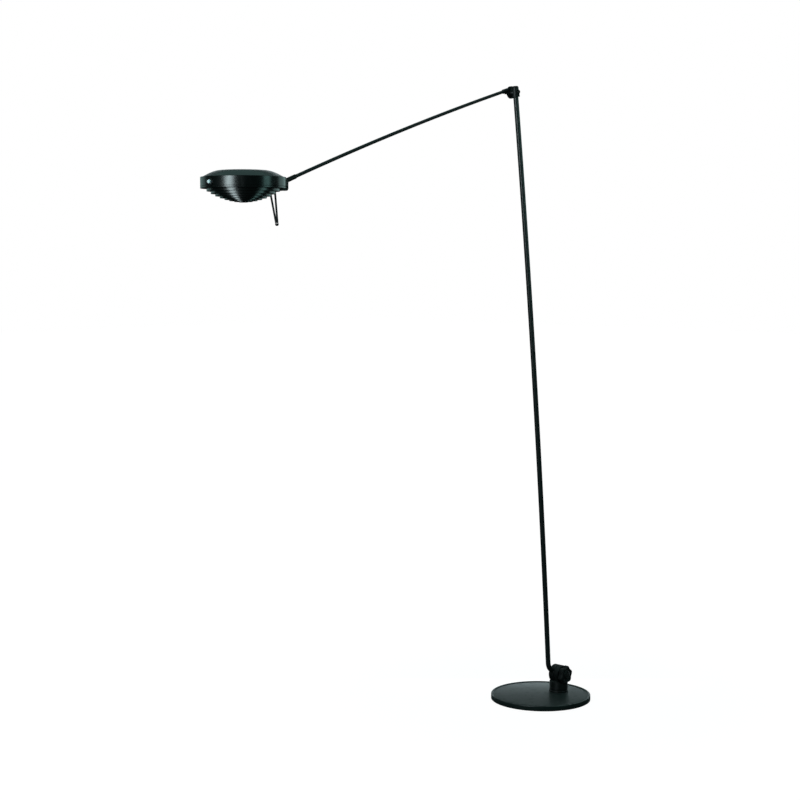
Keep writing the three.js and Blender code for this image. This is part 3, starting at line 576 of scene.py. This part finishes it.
fit(softened("bell_casting", "stem_bell", 0.4), pillar_enamel, "stem", "black_aluminium", "stem_bell")
fit(
    turned("elbow_nylon", [
        (PIN_BORE, NYLON_NEAR), (11, NYLON_NEAR, 0.2), (11, NYLON_FAR, 0.2),
        (PIN_BORE, NYLON_FAR)], ELBOW, ELBOW_TIP, "y", loop=True),
    black_plastic, "stem", "black_plastic", "elbow_washer")
fit(
    turned("elbow_screw", [
        (0, -12.2), (2.2, -12.2, 0.1), (2.2, -13, 0.2), (4.2, -13, 0.5), (5, -12.2, 0.5),
        (5, BOLT_SEAT, 0.2), (PIN_RADIUS, BOLT_SEAT, 0.2), (PIN_RADIUS, BOLT_END),
        (0, BOLT_END)], ELBOW, ELBOW_TIP, "y"),
    pillar_enamel, "stem", "black_steel", "elbow_bolt")
fit(softened("elbow_cap_nut", "elbow_nut", 0.4), pillar_enamel, "stem", "black_steel", "elbow_nut")

# ---------------------------------------------------------------------------------------------
# The arm: a die-cast knuckle with a socket on its top edge, a thin aluminium tube that droops a
# little more towards the head, and a turned collar that the head's spindle turns in.

ARM_Y = 7.5
ARM_RADIUS = 4.3
ARM_WALL = 1
ARM_DROP_START = 16.1
ARM_DROP_END = 20.2
ARM_SPAN = 890.5
ARM_OFFSET = 8.8
TUBE_START = 20.3
TUBE_END = 39
COLLAR_START = 24
COLLAR_END = 54
SPINDLE_BORE = 3.2
TUBE_SEAT = 38.7


def arm_line(start, end, steps):
    """A stretch of the arm's line, between two distances from the elbow's pivot."""
    drop = math.radians(ARM_DROP_START)
    root = np.array([
        ELBOW[0] - ARM_OFFSET * math.sin(drop), ARM_Y, ELBOW[2] + ARM_OFFSET * math.cos(drop)])
    bow = (ARM_DROP_END - ARM_DROP_START) / ARM_SPAN
    heading = 180 + ARM_DROP_START
    lead, _ = bent_line(root, heading, [(start, bow * start, 4)])
    return bent_line(lead[-1], heading + bow * start, [(end - start, bow * (end - start), steps)])


head_pin = arm_line(TUBE_START, ARM_SPAN, 12)[0][-1]
WRIST_TIP = ARM_DROP_END

fit(softened("knuckle_casting", "arm_knuckle", 0.4), pillar_enamel, "arm", "black_aluminium",
    "arm_knuckle")
fit(drawn_tube("arm", arm_line(TUBE_START, ARM_SPAN - TUBE_END, 80), ARM_RADIUS, ARM_WALL),
    tube_enamel, "arm", "black_aluminium", "arm_tube")
fit(
    turned("collar", [
        (SPINDLE_BORE, COLLAR_START), (5, COLLAR_START, 0.2), (5.5, 24.6, 0.3), (5.5, 52.8, 0.5),
        (4.9, COLLAR_END, 0.2), (4.6, COLLAR_END, 0.1), (4.6, TUBE_SEAT, 0.1),
        (SPINDLE_BORE, TUBE_SEAT, 0.1)], head_pin, WRIST_TIP, "x", loop=True),
    pillar_enamel, "arm", "black_steel", "arm_collar")

# ---------------------------------------------------------------------------------------------
# The wrist: a cast tongue held in the head's fork by the tilt pin, with a spindle that goes up
# into the arm's collar, so that the head can also be rolled about the arm.

fit(softened("tongue_casting", "head_tongue", 0.4), pillar_enamel, "wrist", "black_aluminium",
    "head_tongue")

# ---------------------------------------------------------------------------------------------
# The head's shell: a straight band, a lid with a shallow round crown, and a rim ring, all spun in
# aluminium and sprayed in a smoother, glossier black than the base.

HEAD_REACH = 114
HEAD_SINK = 1.7
HEAD = (head_pin[0] - HEAD_REACH, ARM_Y, head_pin[2] - HEAD_SINK)
HEAD_RADIUS = 98
HEAD_HALF = 13
BAND_INNER = HEAD_RADIUS - 1.4
BAND_FOOT = -HEAD_HALF + 4.8
LID_RIM = HEAD_RADIUS - 4.7
LID_TOP = HEAD_HALF + 16.8
LID_SHEET = 1
LID_CROWN = [
    (76, LID_TOP - 7.4, 6), (64.5, LID_TOP - 3, 5), (55, LID_TOP - 1.4, 5), (34, LID_TOP - 0.5, 9)]
LID_SPIGOT = HEAD_HALF - 2.6
BAND_LEDGE = HEAD_HALF - 1.2
RIM_OPENING = 84.2
RIM_TOP = BAND_FOOT - 0.9
RIM_SPIGOT = -6.9
GLASS_SEAT = -11.3

shell_enamel = enamel("shell_enamel", (0.0002, 0.001, 0.0009, 1), (0.0008, 0.0026, 0.0024, 1),
                      gloss=0.23, grain=1.6, grain_depth=0.012, dust=0.25)

fit(
    turned("band", [
        (BAND_INNER, BAND_FOOT), (HEAD_RADIUS, BAND_FOOT, 0.4), (HEAD_RADIUS, HEAD_HALF, 0.9),
        (LID_RIM + GAP, HEAD_HALF, 0.3), (LID_RIM + GAP, BAND_LEDGE, 0.2),
        (BAND_INNER, BAND_LEDGE, 0.8)], HEAD, columns=256, loop=True),
    shell_enamel, "head", "black_aluminium", "head_band")
fit(
    turned("lid", [
        (0, LID_TOP - LID_SHEET),
        *((radius, height - LID_SHEET, ease) for radius, height, ease in reversed(LID_CROWN)),
        (LID_RIM - LID_SHEET, HEAD_HALF - 0.1, 0.6), (LID_RIM - LID_SHEET, LID_SPIGOT),
        (LID_RIM, LID_SPIGOT), (LID_RIM, HEAD_HALF + 0.4, 0.6), *LID_CROWN, (0, LID_TOP)],
        HEAD, columns=256),
    shell_enamel, "head", "black_aluminium", "head_lid")
fit(
    turned("rim", [
        (RIM_OPENING, -HEAD_HALF), (HEAD_RADIUS, -HEAD_HALF, 0.8), (HEAD_RADIUS, RIM_TOP, 0.4),
        (BAND_INNER - GAP, RIM_TOP), (BAND_INNER - GAP, RIM_SPIGOT), (BAND_INNER - 1.7, RIM_SPIGOT),
        (BAND_INNER - 1.7, GLASS_SEAT), (RIM_OPENING, GLASS_SEAT)], HEAD, columns=256, loop=True),
    shell_enamel, "head", "black_aluminium", "rim_ring")

# ---------------------------------------------------------------------------------------------
# The glass plate: a disc of hardened glass that lies on the rim ring's seat and closes the
# head below the lamp, so that the hot tube can't be touched or wetted.

PLATE_RADIUS = 94.2
PLATE_FOOT = GLASS_SEAT + GAP
PLATE_TOP = -9


def lamp_glass(name, roughness, tint):
    finish = Finish(name, IOR=1.5, Transmission_Weight=1.0)
    smear = finish.noise(22, 5)
    lint = finish.noise(1.1, 3).between(0.68, 0.76)
    colour = finish.mix(smear, tint, (0.97, 0.99, 0.98, 1))
    return finish.finished(colour, roughness + 0.05 * smear.between(0.5, 0.8) + 0.15 * lint)


plate_glass = lamp_glass("plate_glass", 0.02, (0.9, 0.96, 0.94, 1))
fit(
    turned("glass_disc", [
        (0, PLATE_FOOT), (PLATE_RADIUS, PLATE_FOOT, 0.4), (PLATE_RADIUS, PLATE_TOP, 0.4),
        (0, PLATE_TOP)], HEAD, columns=192),
    plate_glass, "head", "glass", "glass_plate")

# ---------------------------------------------------------------------------------------------
# The louvre: seven spun rings and a small cap, stepped down a sphere so that the light comes out
# between them but the lamp can't be seen. They hang from the steps of two crossed blades.

LOUVRE_SPHERE = 150
LOUVRE_DEPTH = 32
LOUVRE_ANGLE = 33.9
LOUVRE_PITCH = 4.3
LOUVRE_RINGS = 8
RING_WALL = 1.1
RING_LAP = 2.6
FIRST_RING_TOP = -12.6

louvre_enamel = enamel("louvre_enamel", (0.0002, 0.001, 0.0009, 1), (0.0008, 0.0026, 0.0024, 1),
                       gloss=0.23, grain=1.3, grain_depth=0.012, dust=0.1)


def ring_radius(index):
    """The rings stand down the sphere at even steps of angle from its axis."""
    return LOUVRE_SPHERE * math.sin(math.radians(LOUVRE_ANGLE - index * LOUVRE_PITCH))


def ring_foot(index):
    """The height of the sphere at the ring's radius, under the band's lower edge."""
    sag = LOUVRE_SPHERE - math.sqrt(LOUVRE_SPHERE ** 2 - ring_radius(index) ** 2)
    return sag - LOUVRE_DEPTH - HEAD_HALF


def ring_top(index):
    """Each ring laps a little way up inside the one before it."""
    return FIRST_RING_TOP if index == 0 else ring_foot(index - 1) + RING_LAP


for i in range(LOUVRE_RINGS - 1):
    outer, foot, top = ring_radius(i), ring_foot(i), ring_top(i)
    fit(
        turned(f"louvre_{i + 1}", [
            (outer - RING_WALL, foot, 0.5), (outer, foot, 0.5), (outer, top, 0.3),
            (outer - RING_WALL, top, 0.3)], HEAD, columns=224 - 20 * i, loop=True),
        louvre_enamel, "head", "black_aluminium", f"louvre_ring_{i + 1}")

last = LOUVRE_RINGS - 1
fit(
    turned("louvre_button", [
        (0, ring_foot(last)), (ring_radius(last), ring_foot(last), 0.7),
        (ring_radius(last), ring_top(last)), (0, ring_top(last))], HEAD),
    louvre_enamel, "head", "black_aluminium", "louvre_cap")
fit(softened("louvre_blades", "louvre_carrier", 0.1), louvre_enamel, "head", "black_aluminium",
    "louvre_carrier")

# ---------------------------------------------------------------------------------------------
# The light: a linear halogen tube between two steatite holders, on a plated steel strip under
# the lid, with a bright anodised bowl behind it and a terminal block over the strip.


def bright_bowl():
    finish = Finish("bright_bowl", Metallic=1.0)
    rings = finish.noise(0.8, 2, (8, 8, 0.6))
    haze = finish.noise(30, 4)
    colour = finish.mix(haze, (0.78, 0.8, 0.8, 1), (0.9, 0.9, 0.88, 1))
    return finish.finished(colour, 0.12 + 0.12 * haze, rings, 0.03)


def steatite():
    finish = Finish("steatite", IOR=1.55, Specular_IOR_Level=0.3)
    pores = finish.noise(0.8, 4)
    scorch = finish.noise(9, 4)
    colour = finish.mix(scorch, (0.62, 0.58, 0.5, 1), (0.8, 0.78, 0.72, 1))
    return finish.finished(colour, 0.6 + 0.2 * pores, pores, 0.08)


ceramic = steatite()
paint_node("reflector", bright_bowl())
for node in ("lamp_holder_left", "lamp_holder_right", "terminal_block"):
    paint_node(node, ceramic)
paint_node("halogen_tube", lamp_glass("quartz", 0.08, (0.93, 0.95, 0.96, 1)))
paint_node("lamp_strip", plated_steel)

# ---------------------------------------------------------------------------------------------
# The switch: a push button straight across from the arm. Its moulded body sits inside the band,
# a turned collar trims the hole, and the button itself is moulded in a cool white.


def milky_white():
    finish = Finish("milky_white", IOR=1.5, Subsurface_Weight=0.15)
    cloud = finish.noise(4, 3)
    touch = finish.noise(1.5, 4).between(0.5, 0.75)
    colour = finish.mix(cloud, (0.5, 0.61, 0.62, 1), (0.6, 0.69, 0.7, 1))
    return finish.finished(colour, 0.22 + 0.2 * touch, touch, 0.01)


SWITCH_FACE = -HEAD_RADIUS - 2.6
COLLAR_BORE = 6.3
BUTTON_RADIUS = 4.5
BUTTON_FACE = -105.6
BUTTON_BACK = -92
paint_node("switch_body", black_plastic)
fit(
    turned("trim_collar", [
        (COLLAR_BORE, SWITCH_FACE + 0.2, 0.2), (8, SWITCH_FACE + 0.2, 0.4),
        (8.6, SWITCH_FACE + 0.9, 0.4), (8.6, -HEAD_RADIUS - 0.4),
        (COLLAR_BORE, -HEAD_RADIUS - 0.4)], HEAD, axis="x", loop=True),
    pillar_enamel, "head", "black_steel", "switch_collar")
fit(
    turned("button_cap", [
        (0, BUTTON_FACE), (3.4, BUTTON_FACE + 0.1, 0.6), (BUTTON_RADIUS, BUTTON_FACE + 1.6, 0.9),
        (BUTTON_RADIUS, BUTTON_BACK, 0.3), (0, BUTTON_BACK)], HEAD, axis="x"),
    milky_white(), "button", "white_plastic", "push_button")

# ---------------------------------------------------------------------------------------------
# The head's bracket: a forked block milled from bar, hollowed to sit against the band and held
# by two screws from inside. The tilt pin goes through its fork, under a cap nut.

PIVOT = (head_pin[0], ARM_Y, head_pin[2])
PIN_SEAT = 13.8

fit(softened("fork_block", "head_bracket", 0.5), pillar_enamel, "head", "black_aluminium",
    "head_bracket")
fit(
    turned("tilt_pin", [
        (0, -PIN_SEAT - 1.2), (2, -PIN_SEAT - 1.2, 0.1), (2, -PIN_SEAT - 1.9, 0.2),
        (4.2, -PIN_SEAT - 1.9, 0.5), (5, -PIN_SEAT - 1.1, 0.4), (5, -PIN_SEAT, 0.2),
        (PIN_RADIUS, -PIN_SEAT, 0.2), (PIN_RADIUS, PIN_SEAT + 2.1),
        (0, PIN_SEAT + 2.1)], PIVOT, axis="y"),
    pillar_enamel, "head", "black_steel", "head_pin")
fit(softened("pin_cap_nut", "head_pin_nut", 0.35), pillar_enamel, "head", "black_steel",
    "head_pin_nut")
for node in ("bracket_screw_1", "bracket_screw_2"):
    paint_node(node, plated_steel)

# ---------------------------------------------------------------------------------------------
# The handle: two thin steel rods screwed into ferrules on the rim, drawn together into a small
# moulded tip. It is what the hand takes to aim the head while the shell is hot.

ROOT = np.array([90.5, 8.3, -HEAD_HALF - 3.6])
TIP = np.array([103.4, 2.4, -90])
ROD_RADIUS = 2.4
ROD_NECK = ROD_RADIUS - 0.5
FERRULE_RADIUS = 4
FERRULE_FOOT = -HEAD_HALF - 2.9
FERRULE_TOP = -HEAD_HALF - GAP


def handle_rod(name, side):
    """A circle carried straight from the ferrule to the tip, with a neck turned at its top end."""
    start, end = (np.array([p[0], side * p[1], p[2]]) for p in (ROOT, TIP))
    along = (end - start) / np.linalg.norm(end - start)
    across = np.cross(along, [0, 1, 0])
    across /= np.linalg.norm(across)
    third = np.cross(along, across)
    length = np.linalg.norm(end - start)
    profile = eased([(0, 0), (ROD_NECK, 0, 0.2), (ROD_NECK, 2, 0.3), (ROD_RADIUS, 2.8, 0.4),
                     (ROD_RADIUS, length, 0.3), (0, length)])
    radius, height = profile.T[:, :, None, None]
    angle = np.linspace(0, FULL_TURN, 32, endpoint=False)[None, :, None]
    points = start + height * along + radius * (np.cos(angle) * across + np.sin(angle) * third)
    return skin(name, placed(points, HEAD))


for side, word in ((1, "left"), (-1, "right")):
    centre = (HEAD[0] + ROOT[0], HEAD[1] + side * ROOT[1], HEAD[2])
    fit(
        turned(f"ferrule_{word}", [
            (0, FERRULE_FOOT), (3.4, FERRULE_FOOT, 0.4), (FERRULE_RADIUS, FERRULE_FOOT + 0.6, 0.3),
            (FERRULE_RADIUS, FERRULE_TOP), (0, FERRULE_TOP)], centre, columns=48),
        pillar_enamel, "head", "black_steel", f"handle_ferrule_{word}")
    fit(handle_rod(f"rod_{word}", side), pillar_enamel, "head", "black_steel", f"handle_rod_{word}")
fit(
    turned("grip_tip", [(0, -5.8), (2.6, -5.5, 0.8), (4.2, -3.6, 1.4), (4.6, 0, 0.5), (0, 0)],
           (HEAD[0] + TIP[0] + 0.4, HEAD[1], HEAD[2] + TIP[2] - 0.9), columns=64),
    black_plastic, "head", "black_plastic", "handle_tip")

# ---------------------------------------------------------------------------------------------
# The room: a plain pale floor, a surround, and soft boxes. The camera sees floor and surround
# white, but reflections find them dark, so that the black enamel shows only the boxes.

CAMERA_PLACE = Vector((-3.690, -2.897, 1.253))
CAMERA_TURN = math.radians(-47.0)
CAMERA_PITCH = math.radians(85.045)
FORWARD = Vector((-math.sin(CAMERA_TURN), math.cos(CAMERA_TURN), 0))
RIGHT = Vector((math.cos(CAMERA_TURN), math.sin(CAMERA_TURN), 0))

camera_data = bpy.data.cameras.new("camera")
camera_data.lens = 75.76
camera_data.sensor_width = 36
camera_data.clip_end = 100
camera = bpy.data.objects.new("camera", camera_data)
camera.location = CAMERA_PLACE
camera.rotation_euler = (CAMERA_PITCH, 0, CAMERA_TURN)
bpy.context.scene.collection.objects.link(camera)
bpy.context.scene.camera = camera


def soft_box(name, place, target, width, height, power, tint):
    """An area light of that width and height in metres, turned from place to face target."""
    data = bpy.data.lights.new(name, "AREA")
    data.shape = "RECTANGLE"
    data.size = width
    data.size_y = height
    data.energy = power
    data.color = tint
    light = bpy.data.objects.new(name, data)
    light.location = place
    light.rotation_euler = (target - place).to_track_quat("-Z", "Y").to_euler()
    light.visible_camera = False
    bpy.context.scene.collection.objects.link(light)


UP = Vector((0, 0, 1))
MIDDLE = Vector((-0.6, 0, 0))
AIM = MIDDLE + 1.7 * UP
COOL = (0.8, 0.97, 1)
SEA = (0.5, 1, 0.95)
PALE_SEA = (0.65, 1, 0.97)


def around(angle, distance, height):
    """A place at that angle to the left of the line from the lamp to the camera."""
    turn = math.radians(angle)
    outward = -math.cos(turn) * distance * FORWARD - math.sin(turn) * distance * RIGHT
    return MIDDLE + outward + height * UP


soft_box("left_box", around(34.6, 2.4, 1.7), AIM, 0.84, 1.6, 30, COOL)
soft_box("left_core", around(35, 2.3, 1.7), AIM, 0.42, 1.5, 11, COOL)
soft_box("right_box", around(-60, 2.4, 1.7), AIM, 0.85, 1.6, 9, SEA)
soft_box("top_box", MIDDLE + 0.6 * FORWARD + 3.4 * UP, AIM, 5.0, 2.4, 11, SEA)
soft_box("low_box", 0.22 * FORWARD + 0.03 * UP, 0.03 * UP, 0.9, 0.035, 0.2, COOL)
soft_box("left_back_box", around(130, 3.0, 1.9), AIM, 2.6, 1.4, 6, PALE_SEA)
soft_box("right_back_box", around(-135, 3.0, 1.9), AIM, 2.8, 1.4, 12, PALE_SEA)
soft_box("back_box", MIDDLE + 3 * FORWARD + 2.6 * UP, AIM, 2.6, 0.8, 5, COOL)

world = bpy.data.worlds.new("surround")
bpy.context.scene.world = world
world.use_nodes = True
surround = world.node_tree
rays = surround.nodes.new("ShaderNodeLightPath")
background = surround.nodes["Background"]
seen = surround.nodes.new("ShaderNodeMix")
seen.data_type = "RGBA"
seen.inputs[6].default_value = (0.03, 0.035, 0.035, 1)
seen.inputs[7].default_value = (1, 1, 1, 1)
surround.links.new(rays.outputs["Is Camera Ray"], seen.inputs[0])
surround.links.new(seen.outputs[2], background.inputs["Color"])


def pale_floor():
    """White to the camera, with a faint soft shadow, and a dull grey to every reflection. The shadow
    is partly cast by the lamps and partly painted: the glow is turned down within about a metre of
    the base's middle. From below it is clear, so that the lamp's underside can be looked at."""
    finish = Finish("pale_floor", Roughness=0.9, Specular_IOR_Level=0.1)
    cloud = finish.noise(400, 3)
    colour = finish.mix(cloud, (0.1, 0.1, 0.1, 1), (0.11, 0.11, 0.11, 1))
    finish.feed(finish.shader.inputs["Base Color"], colour)
    distance = finish.node("ShaderNodeVectorMath", {"operation": "LENGTH"}, {0: finish.place}, "Value")
    # Painted shade: the glow is 0.96 within 0.3 m of the base's middle and rises to full white by 1.2
    # m, so the floor is painted a little darker round the base, and the lamps' real shadow shows only
    # there.
    white = finish.mix(distance.between(0.3, 1.2), (0.96, 0.96, 0.96, 1), (1, 1, 1, 1))
    glow = finish.node("ShaderNodeEmission", {}, {"Color": white, "Strength": 1})
    dull = finish.node("ShaderNodeBsdfDiffuse", {}, {"Color": (0.12, 0.13, 0.13, 1)})
    lit = Signal(finish, finish.shader.outputs[0])
    pale = finish.node("ShaderNodeAddShader", {}, {0: lit, 1: glow})
    camera_ray = finish.node("ShaderNodeLightPath", output="Is Camera Ray")
    upper_side = finish.node("ShaderNodeMixShader", {}, {0: camera_ray, 1: dull, 2: pale})
    under_side = finish.node("ShaderNodeBsdfTransparent")
    from_below = finish.node("ShaderNodeNewGeometry", output="Backfacing")
    surface = finish.node("ShaderNodeMixShader", {}, {0: from_below, 1: upper_side, 2: under_side})
    finish.feed(finish.tree.nodes["Material Output"].inputs["Surface"], surface)
    return finish.material


FLOOR_REACH = 20
floor_mesh = bpy.data.meshes.new("floor")
floor_corners = [(x * FLOOR_REACH, y * FLOOR_REACH, 0) for x, y in ((-1, -1), (1, -1), (1, 1), (-1, 1))]
floor_mesh.from_pydata(floor_corners, [], [(0, 1, 2, 3)])
floor_mesh.materials.append(pale_floor())
floor = bpy.data.objects.new("floor", floor_mesh)
bpy.context.scene.collection.objects.link(floor)

bpy.context.scene.view_settings.view_transform = "Standard"
